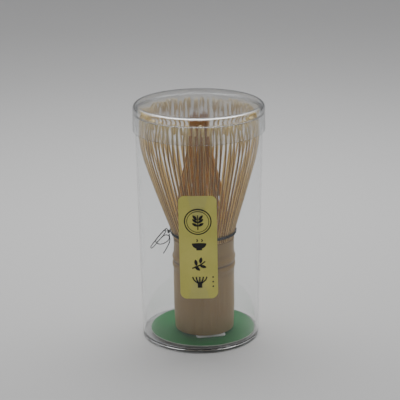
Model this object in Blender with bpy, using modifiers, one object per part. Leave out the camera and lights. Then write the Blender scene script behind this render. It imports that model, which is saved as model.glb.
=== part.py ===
"""Bamboo tea whisk, packed upright in a clear moulded tub with a pull-off lid.

Metres, +Z up. The origin is on the table under the middle of the tub. The whisk stands a
little off the tub's axis, taped to a round card, and its springy crown is centred by the wall.
"""

import math

import bmesh
import bpy
from mathutils import Matrix, Vector

MM = 0.001
CLEARANCE = 0.3 * MM  # gap between pieces that touch or rest on each other

# Tub
TUB_DRAFT = 1.9 * MM  # how much narrower it is at the table than at the rim, in radius
TUB_WALL = 0.8 * MM
FLOOR_THICKNESS = 0.8 * MM
FOOT_DEPTH = 1.3 * MM  # the floor's underside is raised by this inside the foot ring
FOOT_WIDTH = 1.0 * MM
RIM_ROUND = 0.25 * MM

# Lid
LID_SKIRT_DEPTH = 8.0 * MM  # how far the skirt reaches down over the rim
LID_WALL = 0.75 * MM
LID_TOP_THICKNESS = 0.75 * MM
LID_HEADROOM = 3.25 * MM  # from the rim's stop to the underside of the top
LID_CORNER = 2.2 * MM
LID_STOP_WIDTH = 0.8 * MM  # rib inside the lid that lands on the rim
LID_STOP_DEPTH = 0.5 * MM
LID_DRAFT = 0.2 * MM

# Card, tape pad and label
CARD_PLAY = 2.1 * MM  # between the card and the foot of the tub's wall, when it is centred
CARD_THICKNESS = 0.4 * MM
CARD_CENTRE = Vector((1.1 * MM, 0.3 * MM, 0))
PAD_SIDE = 14.0 * MM
PAD_THICKNESS = 0.5 * MM
PAD_PLACE = Vector((1.9 * MM, -6.7 * MM, 0))  # from the handle's axis
PAD_TURN = math.radians(11)
LABEL_WIDTH = 17.4 * MM
LABEL_HEIGHT = 50.2 * MM
LABEL_DROP = 24.0 * MM  # from the lid's skirt to its top edge
LABEL_SHIFT = -0.8 * MM  # along X, from the tub's axis
LABEL_CORNER = 3.0 * MM
LABEL_THICKNESS = 0.3 * MM
LABEL_LEAN = math.radians(0.65)  # top edge towards -X

# Whisk
WHISK_AXIS = Vector((1.8 * MM, -1.6 * MM, 0))  # the handle's axis, from the tub's
HANDLE_LENGTH = 44.6 * MM
HANDLE_RADIUS = 14.5 * MM
HANDLE_TAPER = 0.5 * MM  # how much narrower its foot is, in radius
HANDLE_WALL = 4.0 * MM
HANDLE_CHAMFER = 0.4 * MM
NODE_DROP = 10.7 * MM  # groove of the culm's joint, below the handle's top
NODE_SWELL = 0.55 * MM  # how far its two ridges stand out
NODE_HALF_WIDTH = 2.6 * MM
DIAPHRAGM = 2.0 * MM  # wall across the culm at its joint
TINE_COUNT = 72  # in each crown
ROOT_HEIGHT = 1.5 * MM  # uncut ring at the tines' roots
ROOT_THICKNESS = 1.0 * MM
CROWN_LENGTH = 60.3 * MM  # from the root ring's top to the highest tip
CROWN_RADIUS = 28.2 * MM  # outside, at the widest
CROWN_PLAY = 1.0 * MM  # between the widest tines and the tub's rim
TIP_RISE = 0.5 * MM  # how far the tips stand above the tub's rim
TINE_WIDTH = 0.75 * MM
TINE_THICKNESS = 0.45 * MM
BUNDLE_RADIUS = 4.4 * MM  # inner crown, at its narrowest

# Thread
THREAD_DIAMETER = 0.5 * MM
BAND_DIAMETER = 0.9 * MM  # the lacing's turns, side by side
BAND_HEIGHT = 4.0 * MM  # above the handle's top
KNOT_SIZE = Vector((1.8, 2.2, 2.2)) * MM
KNOT_ANGLE = math.radians(186)  # round the whisk's axis, from +X

# Faceting
CASE_STEPS = 48
HANDLE_STEPS = 40
LABEL_STEPS = 96
TUBE_ROUNDNESS = 2

# Sizes and heights that follow from those above
RIM_RADIUS = CROWN_RADIUS + CROWN_PLAY + TUB_WALL  # outside, at the rim
FOOT_RADIUS = RIM_RADIUS - TUB_DRAFT  # outside, at the table; the wall drafts between the two
CARD_RADIUS = FOOT_RADIUS - TUB_WALL - CARD_PLAY
HANDLE_FOOT_RADIUS = HANDLE_RADIUS - HANDLE_TAPER
FLOOR_TOP = FOOT_DEPTH + FLOOR_THICKNESS
CARD_TOP = FLOOR_TOP + CLEARANCE + CARD_THICKNESS
PAD_TOP = CARD_TOP + CLEARANCE + PAD_THICKNESS
HANDLE_FOOT = PAD_TOP + CLEARANCE
HANDLE_TOP = HANDLE_FOOT + HANDLE_LENGTH
ROOT_TOP = HANDLE_TOP + CLEARANCE + ROOT_HEIGHT
BAND_Z = HANDLE_TOP + BAND_HEIGHT
TUB_HEIGHT = ROOT_TOP + CROWN_LENGTH - TIP_RISE
SKIRT_BOTTOM = TUB_HEIGHT - LID_SKIRT_DEPTH
LABEL_MIDDLE = Vector((LABEL_SHIFT, 0, SKIRT_BOTTOM - LABEL_DROP - LABEL_HEIGHT / 2))

# Free thread, from the knot round two hanging loops to a bare end, in millimetres. The points
# are chosen by hand, on the left of the whisk, between its tines and the tub's wall.
BOW_ROUTE = [
    (-15.9, -3.3, 54.0), (-17.0, -3.6, 53.2), (-18.4, -3.8, 51.7), (-19.9, -3.9, 49.9),
    (-21.3, -4.0, 48.1), (-22.6, -4.0, 46.4), (-23.4, -3.7, 45.0), (-23.2, -3.1, 44.1),
    (-22.2, -2.7, 44.6), (-21.1, -2.6, 45.9), (-19.9, -2.6, 47.4), (-18.6, -2.6, 48.9),
    (-17.4, -2.5, 50.3), (-16.6, -2.0, 51.4), (-16.2, -1.0, 52.0), (-16.5, 0.1, 52.0),
    (-17.5, 0.4, 51.3), (-18.6, 0.0, 50.2), (-19.7, -0.4, 49.0), (-20.7, -0.7, 47.8),
    (-21.3, -0.8, 46.7), (-20.8, -0.8, 46.2), (-19.7, -0.9, 47.1), (-18.6, -1.0, 48.4),
    (-17.4, -1.3, 49.6), (-16.2, -2.0, 50.3), (-15.1, -3.1, 50.4), (-14.4, -4.2, 49.8),
    (-14.3, -5.0, 48.4), (-14.9, -5.4, 46.8), (-15.7, -5.6, 45.2), (-16.6, -5.6, 43.6),
    (-17.5, -5.5, 42.1),
]
# The other end of the thread, from under the knot, in millimetres.
TAIL_ROUTE = [
    (-14.4, -5.8, 50.7), (-14.7, -6.2, 49.5), (-15.5, -6.4, 48.6), (-16.7, -6.4, 47.8),
    (-18.0, -6.3, 47.3), (-19.4, -6.1, 47.2), (-20.7, -5.8, 47.6),
]


def clear_scene():
    """Removes whatever the file was opened with."""
    for obj in list(bpy.data.objects):
        bpy.data.objects.remove(obj, do_unlink=True)


def new_collection(name):
    collection = bpy.data.collections.new(name)
    bpy.context.scene.collection.children.link(collection)
    return collection


def new_material(name, colour, roughness, alpha=1.0):
    """A plain non-metal finish."""
    material = bpy.data.materials.new(name)
    material.use_nodes = True
    shader = material.node_tree.nodes["Principled BSDF"]
    shader.inputs["Base Color"].default_value = (*colour, 1)
    shader.inputs["Roughness"].default_value = roughness
    shader.inputs["Metallic"].default_value = 0
    shader.inputs["Alpha"].default_value = alpha
    return material


def new_object(name, data, material, collection):
    data.materials.append(material)
    obj = bpy.data.objects.new(name, data)
    collection.objects.link(obj)
    return obj


def mesh_from(bm, name):
    """The bmesh as a mesh, smooth but for its real edges."""
    mesh = bpy.data.meshes.new(name)
    bm.to_mesh(mesh)
    bm.free()
    mesh.shade_smooth()
    mesh.set_sharp_from_angle(angle=math.radians(35))
    return mesh


def arc(centre, radius, start, end, steps):
    """Points (r, z) round an arc in the turning plane, angles in degrees from +r."""
    angles = [math.radians(start + (end - start) * i / steps) for i in range(steps + 1)]
    return [(centre[0] + radius * math.cos(a), centre[1] + radius * math.sin(a)) for a in angles]


def turned(name, profile, steps, material, collection, closed=False):
    """A round piece: (r, z) points, down the outer side, turned about Z."""
    mesh = bpy.data.meshes.new(name)
    count = len(profile)
    edges = [(i, (i + 1) % count) for i in range(count if closed else count - 1)]
    mesh.from_pydata([(r, 0, z) for r, z in profile], edges, [])
    obj = new_object(name, mesh, material, collection)
    screw = obj.modifiers.new("Turn", "SCREW")
    screw.steps = screw.render_steps = steps
    screw.use_merge_vertices = True
    screw.merge_threshold = 0.00001
    screw.use_smooth_shade = True
    return obj


def smooth_line(points, spacing):
    """Points about the spacing apart on a smooth curve through the given ones (Catmull-Rom)."""
    ends = [2 * points[0] - points[1], *points, 2 * points[-1] - points[-2]]
    line = [points[0]]
    for before, start, end, after in zip(ends, ends[1:], ends[2:], ends[3:]):
        steps = max(1, round((end - start).length / spacing))
        for i in range(1, steps + 1):
            t = i / steps
            line.append(
                0.5 * (2 * start + (end - before) * t
                       + (2 * before - 5 * start + 4 * end - after) * t**2
                       + (3 * start - before - 3 * end + after) * t**3)
            )
    return line


def tube(name, points, diameter, material, collection):
    """A round thread along the points, with flat ends."""
    curve = bpy.data.curves.new(name, "CURVE")
    curve.dimensions = "3D"
    curve.bevel_depth = diameter / 2
    curve.bevel_resolution = TUBE_ROUNDNESS
    curve.use_fill_caps = True
    spline = curve.splines.new("POLY")
    spline.points.add(len(points) - 1)
    for point, place in zip(spline.points, points):
        point.co = (*place, 1)
    return new_object(name, curve, material, collection)


def hold(empty, *pieces):
    """Hangs the pieces on the empty where they are."""
    for piece in pieces:
        piece.parent = empty
        piece.matrix_parent_inverse = Matrix.Translation(-empty.location)


def wall_radius(height):
    """Outer radius of the drafted tub at a height."""
    return FOOT_RADIUS + (RIM_RADIUS - FOOT_RADIUS) * height / TUB_HEIGHT


def crown_centre(height):
    """Where the crown's middle lies: over the handle at the roots, on the tub's axis at the tips."""
    risen = min(max((height - HANDLE_TOP) / CROWN_LENGTH, 0), 1)
    return WHISK_AXIS * (1 - risen) ** 2


def make_tub(collection):
    """Open tub with a foot ring."""
    inner_foot = FOOT_RADIUS - FOOT_WIDTH
    profile = [
        (0, FLOOR_TOP),
        (wall_radius(FLOOR_TOP) - TUB_WALL, FLOOR_TOP),
        (RIM_RADIUS - TUB_WALL, TUB_HEIGHT - RIM_ROUND),
        (RIM_RADIUS - TUB_WALL + RIM_ROUND, TUB_HEIGHT),
        (RIM_RADIUS - RIM_ROUND, TUB_HEIGHT),
        (RIM_RADIUS, TUB_HEIGHT - RIM_ROUND),
        (wall_radius(FLOOR_TOP), FLOOR_TOP),
        (FOOT_RADIUS - RIM_ROUND, 0),
        (inner_foot, 0),
        (inner_foot - RIM_ROUND, FOOT_DEPTH),
        (0, FOOT_DEPTH),
    ]
    clear = new_material("Clear polystyrene", (0.92, 0.93, 0.93), 0.05, alpha=0.25)
    return turned("case_tub", profile, CASE_STEPS, clear, collection)


def make_lid(collection):
    """Cap with a rounded corner, a skirt over the rim and a rib that lands on it."""
    skirt_inside = RIM_RADIUS + CLEARANCE
    skirt_outside = skirt_inside + LID_WALL
    corner_outside = skirt_outside - LID_DRAFT
    stop = TUB_HEIGHT + CLEARANCE
    underside = stop + LID_HEADROOM
    top = underside + LID_TOP_THICKNESS
    bend = (corner_outside - LID_CORNER, top - LID_CORNER)
    inner_bend = LID_CORNER - LID_TOP_THICKNESS
    stop_inside = skirt_inside - LID_STOP_WIDTH
    profile = [
        (0, top),
        *arc(bend, LID_CORNER, 90, 0, 4),
        (skirt_outside, SKIRT_BOTTOM),
        (skirt_inside, SKIRT_BOTTOM),
        (skirt_inside, stop),
        (stop_inside, stop),
        (stop_inside, stop + LID_STOP_DEPTH),
        (bend[0] + inner_bend, stop + LID_STOP_DEPTH),
        *arc(bend, inner_bend, 0, 90, 4),
        (0, underside),
    ]
    clear = new_material("Clear polystyrene lid", (0.92, 0.93, 0.93), 0.05, alpha=0.25)
    return turned("case_lid", profile, CASE_STEPS, clear, collection)


def make_card(collection):
    """Round green card that the whisk stands on."""
    bm = bmesh.new()
    bmesh.ops.create_cone(
        bm, cap_ends=True, segments=CASE_STEPS, radius1=CARD_RADIUS, radius2=CARD_RADIUS,
        depth=CARD_THICKNESS,
    )
    green = new_material("Green card", (0.03, 0.17, 0.06), 0.6)
    card = new_object("base_card", mesh_from(bm, "base_card"), green, collection)
    card.location = CARD_CENTRE + Vector((0, 0, CARD_TOP - CARD_THICKNESS / 2))
    return card


def make_pad(collection):
    """White foam tape between the card and the handle's foot."""
    bm = bmesh.new()
    bmesh.ops.create_cube(bm, size=1)
    bmesh.ops.scale(bm, vec=(PAD_SIDE, PAD_SIDE, PAD_THICKNESS), verts=bm.verts)
    white = new_material("White foam tape", (0.8, 0.8, 0.78), 0.8)
    pad = new_object("tape_pad", mesh_from(bm, "tape_pad"), white, collection)
    pad.location = WHISK_AXIS + PAD_PLACE + Vector((0, 0, PAD_TOP - PAD_THICKNESS / 2))
    pad.rotation_euler.z = PAD_TURN
    return pad


def make_label(collection, cutters):
    """Sticker on the front of the tub: a thin shell of its wall, cut to a rounded rectangle."""
    low = LABEL_MIDDLE.z - LABEL_HEIGHT * 0.6
    high = LABEL_MIDDLE.z + LABEL_HEIGHT * 0.6
    profile = [
        (wall_radius(high) + CLEARANCE + LABEL_THICKNESS, high),
        (wall_radius(low) + CLEARANCE + LABEL_THICKNESS, low),
        (wall_radius(low) + CLEARANCE, low),
        (wall_radius(high) + CLEARANCE, high),
    ]
    gold = new_material("Olive gold paper", (0.42, 0.36, 0.1), 0.5)
    label = turned("label", profile, LABEL_STEPS, gold, collection, closed=True)
    bm = bmesh.new()
    bmesh.ops.create_cube(bm, size=1)
    bmesh.ops.scale(bm, vec=(LABEL_WIDTH, RIM_RADIUS, LABEL_HEIGHT), verts=bm.verts)
    corners = [e for e in bm.edges if abs((e.verts[0].co - e.verts[1].co).y) > RIM_RADIUS / 2]
    bmesh.ops.bevel(
        bm, geom=corners, offset=LABEL_CORNER, offset_type="OFFSET", segments=4, profile=0.5,
        affect="EDGES",
    )
    outline = new_object("label_outline", mesh_from(bm, "label_outline"), gold, cutters)
    outline.location = LABEL_MIDDLE + Vector((0, -RIM_RADIUS, 0))
    outline.rotation_euler.y = -LABEL_LEAN
    outline.hide_render = True
    outline.display_type = "WIRE"
    trim = label.modifiers.new("Outline", "BOOLEAN")
    trim.operation = "INTERSECT"
    trim.solver = "EXACT"
    trim.object = outline
    return label


def make_handle(collection):
    """Length of culm, open below and above, with the wall of its joint across the bore."""
    node = HANDLE_TOP - NODE_DROP
    bore = HANDLE_RADIUS - HANDLE_WALL
    ridge = HANDLE_RADIUS + NODE_SWELL
    width = NODE_HALF_WIDTH
    profile = [
        (0, node + DIAPHRAGM / 2),
        (bore, node + DIAPHRAGM / 2),
        (bore, HANDLE_TOP),
        (HANDLE_RADIUS, HANDLE_TOP),
        (HANDLE_RADIUS - 0.2 * MM, node + 2.7 * width),
        (HANDLE_RADIUS, node + 1.6 * width),
        (ridge, node + width),
        (ridge, node + 0.4 * width),
        (ridge - 0.7 * NODE_SWELL, node),
        (ridge, node - 0.4 * width),
        (ridge, node - width),
        (HANDLE_RADIUS + 0.05 * MM, node - 2 * width),
        (HANDLE_RADIUS, HANDLE_FOOT + HANDLE_LENGTH / 4),
        (HANDLE_FOOT_RADIUS, HANDLE_FOOT + HANDLE_CHAMFER),
        (HANDLE_FOOT_RADIUS - HANDLE_CHAMFER, HANDLE_FOOT),
        (bore, HANDLE_FOOT),
        (bore, node - DIAPHRAGM / 2),
        (0, node - DIAPHRAGM / 2),
    ]
    bamboo = new_material("Bamboo culm", (0.45, 0.33, 0.17), 0.45)
    handle = turned("bamboo_handle", profile, HANDLE_STEPS, bamboo, collection)
    handle.location = WHISK_AXIS
    return handle


def root_ring(bm, outside, inside):
    """Uncut ring at the roots, in twice as many faces as tines; returns its top faces."""
    segments = 2 * TINE_COUNT
    bottom = HANDLE_TOP + CLEARANCE
    made = bmesh.ops.create_circle(bm, segments=segments, radius=outside)
    bmesh.ops.translate(bm, verts=made["verts"], vec=WHISK_AXIS + Vector((0, 0, bottom)))
    inward = bmesh.ops.extrude_edge_only(bm, edges=list(bm.edges))
    moved = [v for v in inward["geom"] if isinstance(v, bmesh.types.BMVert)]
    for vert in moved:
        from_axis = (vert.co - WHISK_AXIS) * (inside / outside)
        vert.co = Vector((WHISK_AXIS.x + from_axis.x, WHISK_AXIS.y + from_axis.y, bottom))
    raised = bmesh.ops.extrude_face_region(bm, geom=list(bm.faces), use_keep_orig=True)
    top = [f for f in raised["geom"] if isinstance(f, bmesh.types.BMFace)]
    verts = {v for f in top for v in f.verts}
    bmesh.ops.translate(bm, verts=list(verts), vec=(0, 0, ROOT_HEIGHT))
    return top


def face_angle(face):
    """Direction of a face's middle from the whisk's axis."""
    middle = face.calc_center_median() - WHISK_AXIS
    return math.atan2(middle.y, middle.x)


def tine_corners(angle, path, i, width, thickness):
    """The four corners of a tine's section at a point of its path: outer pair, then inner pair."""
    radius, height = path[i]
    before, after = path[max(i - 1, 0)], path[min(i + 1, len(path) - 1)]
    along = Vector((after[0] - before[0], after[1] - before[1])).normalized()
    inner = (radius - along.y * thickness, height + along.x * thickness)
    out = Vector((math.cos(angle), math.sin(angle), 0))
    side = Vector((-out.y, out.x, 0)) * width / 2
    corners = []
    for r, z in ((radius, height), inner):
        middle = crown_centre(z) + out * r + Vector((0, 0, z))
        corners += [middle - side, middle + side]
    return corners


def draw_tine(bm, face, path, width_of, thickness):
    """Draws one top face of the root ring up into a tine along the path."""
    angle = face_angle(face)
    out = Vector((math.cos(angle), math.sin(angle), 0))
    side = Vector((-out.y, out.x, 0))
    middle = face.calc_center_median()
    # Which corner of the section each vertex is: outer before inner, then by its side.
    place = [2 * ((v.co - middle).dot(out) < 0) + ((v.co - middle).dot(side) > 0) for v in face.verts]
    for i in range(len(path)):
        corners = tine_corners(angle, path, i, width_of(path[i][0]), thickness)
        face = bmesh.ops.extrude_discrete_faces(bm, faces=[face])["faces"][0]
        for vert, k in zip(face.verts, place):
            vert.co = corners[k]


def make_tines(name, outside, path, width_of, thickness, collection):
    """A crown of tines on one root ring."""
    bm = bmesh.new()
    top = root_ring(bm, outside, outside - ROOT_THICKNESS)
    for face in sorted(top, key=face_angle)[::2]:
        draw_tine(bm, face, path, width_of, thickness)
    bmesh.ops.recalc_face_normals(bm, faces=bm.faces)
    bamboo = new_material(name.replace("_", " "), (0.62, 0.45, 0.22), 0.5)
    return new_object(name, mesh_from(bm, name), bamboo, collection)


def make_outer_tines(collection):
    """The flared crown, whose tips curl in under the lid."""
    flare = CROWN_RADIUS - HANDLE_RADIUS
    shape = [(0.065, 0.05), (0.52, 0.37), (0.87, 0.64), (1.0, 0.81), (0.97, 0.94), (0.8, 1.0)]
    path = [(HANDLE_RADIUS + flare * r, ROOT_TOP + CROWN_LENGTH * z) for r, z in shape]
    return make_tines(
        "outer_tines", HANDLE_RADIUS, path, lambda radius: TINE_WIDTH, TINE_THICKNESS, collection
    )


def make_inner_tines(collection):
    """The gathered crown, drawn together into a bundle."""
    outside = HANDLE_RADIUS - ROOT_THICKNESS - CLEARANCE
    narrowing = outside - BUNDLE_RADIUS
    shape = [(0.96, 0.08), (0.7, 0.36), (0.3, 0.62), (0.0, 0.88), (0.03, 0.98)]
    path = [(BUNDLE_RADIUS + narrowing * r, ROOT_TOP + CROWN_LENGTH * z) for r, z in shape]
    share = 0.6 * 2 * math.pi / TINE_COUNT
    return make_tines(
        "inner_tines", outside, path, lambda radius: share * radius, TINE_THICKNESS, collection
    )


def band_radius():
    """Radius of the lacing's middle line, clear of the tines that it holds."""
    reach = 0.065 * (CROWN_RADIUS - HANDLE_RADIUS)
    return HANDLE_RADIUS + reach + CLEARANCE + BAND_DIAMETER / 2


def make_lacing(collection):
    """The thread wound round the outer tines' roots, and the knot that ties it off."""
    black = new_material("Black cotton thread", (0.02, 0.02, 0.025), 0.8)
    radius = band_radius()
    centre = crown_centre(BAND_Z) + Vector((0, 0, BAND_Z))
    gap = (KNOT_SIZE.y / 2 + CLEARANCE) / radius
    steps = 60
    start, sweep = KNOT_ANGLE + gap, 2 * math.pi - 2 * gap
    angles = [start + sweep * i / steps for i in range(steps + 1)]
    ring = [centre + radius * Vector((math.cos(a), math.sin(a), 0)) for a in angles]
    band = tube("lacing_band", ring, BAND_DIAMETER, black, collection)
    bm = bmesh.new()
    bmesh.ops.create_uvsphere(bm, u_segments=12, v_segments=8, radius=0.5)
    bmesh.ops.scale(bm, vec=KNOT_SIZE, verts=bm.verts)
    knot = new_object("lacing_knot", mesh_from(bm, "lacing_knot"), black, collection)
    out = Vector((math.cos(KNOT_ANGLE), math.sin(KNOT_ANGLE), 0))
    proud = (KNOT_SIZE.x - BAND_DIAMETER) / 2  # so that the knot clears the tines as the band does
    knot.location = centre + out * (radius + proud)
    knot.rotation_euler.z = KNOT_ANGLE
    return band, knot


def make_free_thread(collection):
    """The bow's loops and the two loose ends."""
    black = bpy.data.materials["Black cotton thread"]
    made = []
    for name, route in (("thread_bow", BOW_ROUTE), ("thread_tail", TAIL_ROUTE)):
        line = smooth_line([Vector(p) * MM for p in route], 2.5 * THREAD_DIAMETER)
        made.append(tube(name, line, THREAD_DIAMETER, black, collection))
    return made


def main():
    clear_scene()
    parts = new_collection("tea_whisk_in_case")
    cutters = new_collection("cutters")
    whisk = bpy.data.objects.new("whisk_axis", None)
    whisk.location = WHISK_AXIS
    lid_axis = bpy.data.objects.new("lid_axis", None)
    for empty in (whisk, lid_axis):
        parts.objects.link(empty)
    make_tub(parts)
    hold(lid_axis, make_lid(parts))
    make_card(parts)
    make_pad(parts)
    make_label(parts, cutters)
    hold(whisk, make_handle(parts), make_outer_tines(parts), make_inner_tines(parts))
    hold(whisk, *make_lacing(parts))
    hold(whisk, *make_free_thread(parts))


main()
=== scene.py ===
"""Bamboo tea whisk in its clear case: the finished surfaces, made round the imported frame.

Sizes are in millimetres and turned to metres where a mesh is made. +Z is up, the tub stands on
Z = 0 with its axis on the origin, and the label faces -Y.
"""

import math

import bmesh
import bpy
import numpy as np
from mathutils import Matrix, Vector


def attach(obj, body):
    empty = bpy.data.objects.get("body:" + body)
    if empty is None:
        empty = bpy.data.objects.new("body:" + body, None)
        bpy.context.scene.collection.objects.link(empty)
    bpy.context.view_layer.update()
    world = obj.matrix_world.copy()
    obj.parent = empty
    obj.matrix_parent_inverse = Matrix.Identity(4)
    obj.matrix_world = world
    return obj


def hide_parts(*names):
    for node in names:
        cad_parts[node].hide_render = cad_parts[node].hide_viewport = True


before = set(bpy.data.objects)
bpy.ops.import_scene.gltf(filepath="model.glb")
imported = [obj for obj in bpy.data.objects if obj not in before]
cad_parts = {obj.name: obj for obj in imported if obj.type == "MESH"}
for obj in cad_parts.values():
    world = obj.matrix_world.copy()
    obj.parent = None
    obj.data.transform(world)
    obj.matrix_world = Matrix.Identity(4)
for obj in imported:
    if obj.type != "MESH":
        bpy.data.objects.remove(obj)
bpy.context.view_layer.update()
scene = bpy.context.scene


# ---- Where it stands -------------------------------------------------
# A sheet of pale grey paper in a grey light tent. A wide soft light hangs a little behind the
# tub, so the paper is brightest just past it, and a weaker one high in front fills the shadows.

MM = 0.001
SHEET_SIDE = 16000
SHEET_DROP = 0.05  # the paper lies this far under the foot, so that the two never share a plane
CAMERA_PLACE = (0.0, -657.7, 278.4)
CAMERA_TILT = 17.83  # degrees below the horizon
CAMERA_ROLL = -0.545  # degrees
CAMERA_LENS = 131.1
CAMERA_SENSOR = 36.0
CAMERA_SHIFT = 0.001  # a share of the frame's width
TENT_SIDE = 0.19  # how bright the tent's walls are
TENT_TOP = 0.30  # and its roof
TENT_PANEL = 1.5  # and the lit panel half way up its back
TENT_DOOR = 1.3  # how many times brighter its open front is, where the room looks in
PANEL_EDGES = [("Z", 0.42, 0.56), ("Z", 0.88, 0.74), ("Y", 0.02, 0.25)]  # from dark to lit


def linear(hex_colour):
    """A colour written as sRGB hex, as the linear RGBA that the shaders take: each channel goes
    through the sRGB curve, which is a line near black and a power of 2.4 above it."""
    srgb = np.array([int(hex_colour[i:i + 2], 16) for i in (1, 3, 5)]) / 255
    rgb = np.where(srgb <= 0.04045, srgb / 12.92, ((srgb + 0.055) / 1.055) ** 2.4)
    return (*rgb.tolist(), 1.0)


def set_inputs(tree, node, inputs):
    """Gives each input its value, or a link from another node's socket."""
    for name, value in inputs.items():
        if isinstance(value, bpy.types.NodeSocket):
            tree.links.new(value, node.inputs[name])
        else:
            node.inputs[name].default_value = value


def add_node(tree, kind, inputs, **settings):
    """Adds a shader node with its settings and inputs."""
    node = tree.nodes.new("ShaderNode" + kind)
    for name, value in settings.items():
        setattr(node, name, value)
    set_inputs(tree, node, inputs)
    return node


def new_material(name):
    """A material with its node tree, and the socket that says where on the object a point is."""
    material = bpy.data.materials.new(name)
    material.use_nodes = True
    place = add_node(material.node_tree, "TexCoord", {}).outputs["Object"]
    return material, material.node_tree, place


MIX_FACTOR, MIX_A, MIX_B, MIX_RESULT = 0, 6, 7, 2  # a Mix node's colour sockets


def finish(material, first, layers, values, relief=None):
    """Ends a material. Its colour is the first, under layers of (amount, colour) that each cover
    what is below by their amount. Its shader takes the values. relief is a height, how strongly
    it shows, and its depth in millimetres."""
    tree = material.node_tree
    colour = linear(first)
    for amount, over in layers:
        mixed = {MIX_FACTOR: amount, MIX_A: colour, MIX_B: linear(over)}
        colour = add_node(tree, "Mix", mixed, data_type="RGBA").outputs[MIX_RESULT]
    inputs = {"Base Color": colour, **values}
    if relief:
        height, strength, depth = relief
        bump = add_node(tree, "Bump", {"Height": height, "Strength": strength, "Distance": depth * MM})
        inputs["Normal"] = bump.outputs["Normal"]
    set_inputs(tree, tree.nodes["Principled BSDF"], inputs)
    return material


def sheet_paper():
    """Uncoated grey paper: matte, with a fibre too fine to see and a faint broad mottle."""
    material, tree, place = new_material("Grey backdrop paper")
    mottle = add_node(tree, "TexNoise", {"Vector": place, "Scale": 3.0, "Detail": 2.0})
    return finish(material, "#c3c3c2", [(mottle.outputs["Fac"], "#c8c8c8")],
                  {"Roughness": 0.9, "Specular IOR Level": 0.2})


def add_sheet():
    """The paper: one flat square, far wider than the view."""
    mesh = bpy.data.meshes.new("paper_sheet")
    half = SHEET_SIDE / 2
    corners = [(-half, -half), (half, -half), (half, half), (-half, half)]
    mesh.from_pydata([(x * MM, y * MM, -SHEET_DROP * MM) for x, y in corners], [], [(0, 1, 2, 3)])
    mesh.materials.append(sheet_paper())
    sheet = bpy.data.objects.new("paper_sheet", mesh)
    scene.collection.objects.link(sheet)


def add_softbox(name, place, aim, size, power):
    """A soft light of a width and a depth at a place, turned to face a point."""
    light = bpy.data.lights.new(name, "AREA")
    light.shape = "RECTANGLE"
    light.size = size[0] * MM
    light.size_y = size[1] * MM
    light.energy = power
    lamp = bpy.data.objects.new(name, light)
    lamp.location = [c * MM for c in place]
    away = Vector(place) - Vector(aim)
    lamp.rotation_euler = away.to_track_quat("Z", "Y").to_euler()
    scene.collection.objects.link(lamp)


def add_camera():
    """Looks down at the tub from the front."""
    lens = bpy.data.cameras.new("camera")
    lens.sensor_width = CAMERA_SENSOR
    lens.lens = CAMERA_LENS
    lens.clip_start = 0.01
    lens.clip_end = 100
    lens.shift_x = CAMERA_SHIFT
    camera = bpy.data.objects.new("camera", lens)
    tilt = Matrix.Rotation(math.radians(90 - CAMERA_TILT), 4, "X")
    roll = Matrix.Rotation(math.radians(CAMERA_ROLL), 4, "Z")
    camera.matrix_world = Matrix.Translation([c * MM for c in CAMERA_PLACE]) @ tilt @ roll
    scene.collection.objects.link(camera)
    scene.camera = camera


def add_room():
    """The light tent round the tub, as a world that only gives light: grey at the horizon, paler
    by the square of the height towards the zenith, and brighter in front, where it is open. A
    panel of it is lit from behind, half way up and all round the back."""
    world = bpy.data.worlds.new("light_tent")
    world.use_nodes = True
    tree = world.node_tree
    towards = add_node(tree, "TexCoord", {}).outputs["Generated"]
    parts = add_node(tree, "SeparateXYZ", {"Vector": towards})
    height = add_node(tree, "Math", {0: parts.outputs["Z"], 1: 0.0}, operation="MAXIMUM")
    square = add_node(tree, "Math", {0: height.outputs[0], 1: 2.0}, operation="POWER")
    glow = add_node(
        tree, "Math", {0: square.outputs[0], 1: TENT_TOP - TENT_SIDE, 2: TENT_SIDE},
        operation="MULTIPLY_ADD",
    )
    door = add_node(
        tree, "MapRange", {"Value": parts.outputs["Y"], "From Min": -0.3, "From Max": -0.9,
                           "To Min": 1.0, "To Max": TENT_DOOR},
        interpolation_type="SMOOTHSTEP",
    )
    strength = add_node(tree, "Math", {0: glow.outputs[0], 1: door.outputs[0]}, operation="MULTIPLY")
    panel = TENT_PANEL
    for axis, dark, lit in PANEL_EDGES:
        edge = add_node(
            tree, "MapRange", {"Value": parts.outputs[axis], "From Min": dark, "From Max": lit},
            interpolation_type="SMOOTHSTEP",
        )
        panel = add_node(tree, "Math", {0: panel, 1: edge.outputs[0]}, operation="MULTIPLY").outputs[0]
    total = add_node(tree, "Math", {0: panel, 1: strength.outputs[0]}, operation="ADD")
    light = {"Color": linear("#f4f4f6"), "Strength": total.outputs[0]}
    set_inputs(tree, tree.nodes["Background"], light)
    scene.world = world


add_room()
add_sheet()
add_softbox("top_softbox", (0, 165, 440), (0, 155, 0), (400, 320), 1.9)
add_softbox("front_softbox", (0, -150, 900), (0, -60, 110), (420, 300), 0.9)
add_camera()


# ---- Tub -------------------------------------------------------------
# An open tub of clear polystyrene, injection moulded in one shot, with a drafted wall and its
# floor raised on a thin foot ring. The card, the tape and the whisk are put in from above.

RIM_RADIUS = 30.0
FOOT_RADIUS = 28.1
TUB_HEIGHT = 110.1
TUB_WALL = 0.8
FOOT_DEPTH = 1.3
FOOT_WIDTH = 1.0
FOOT_DRAFT = 0.3  # how much wider the hollow under the floor is at its mouth
HEEL_HEIGHT = 1.6
HEEL_IN = 0.15  # how much further the wall turns in below that height
FLOOR_TOP = 2.1
RIM_ROUND = 0.1
CASE_STEPS = 192  # points round the tub and the lid
FLAT_RUN = 1.2  # a straight run longer than this gets two more points,
FLAT_END = 0.35  # each this far from its end
WELD = 1e-7  # metres
SHARP_FROM = math.radians(40)


def unit(vectors):
    """Each row at length 1."""
    return vectors / np.linalg.norm(vectors, axis=1, keepdims=True)


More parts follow.
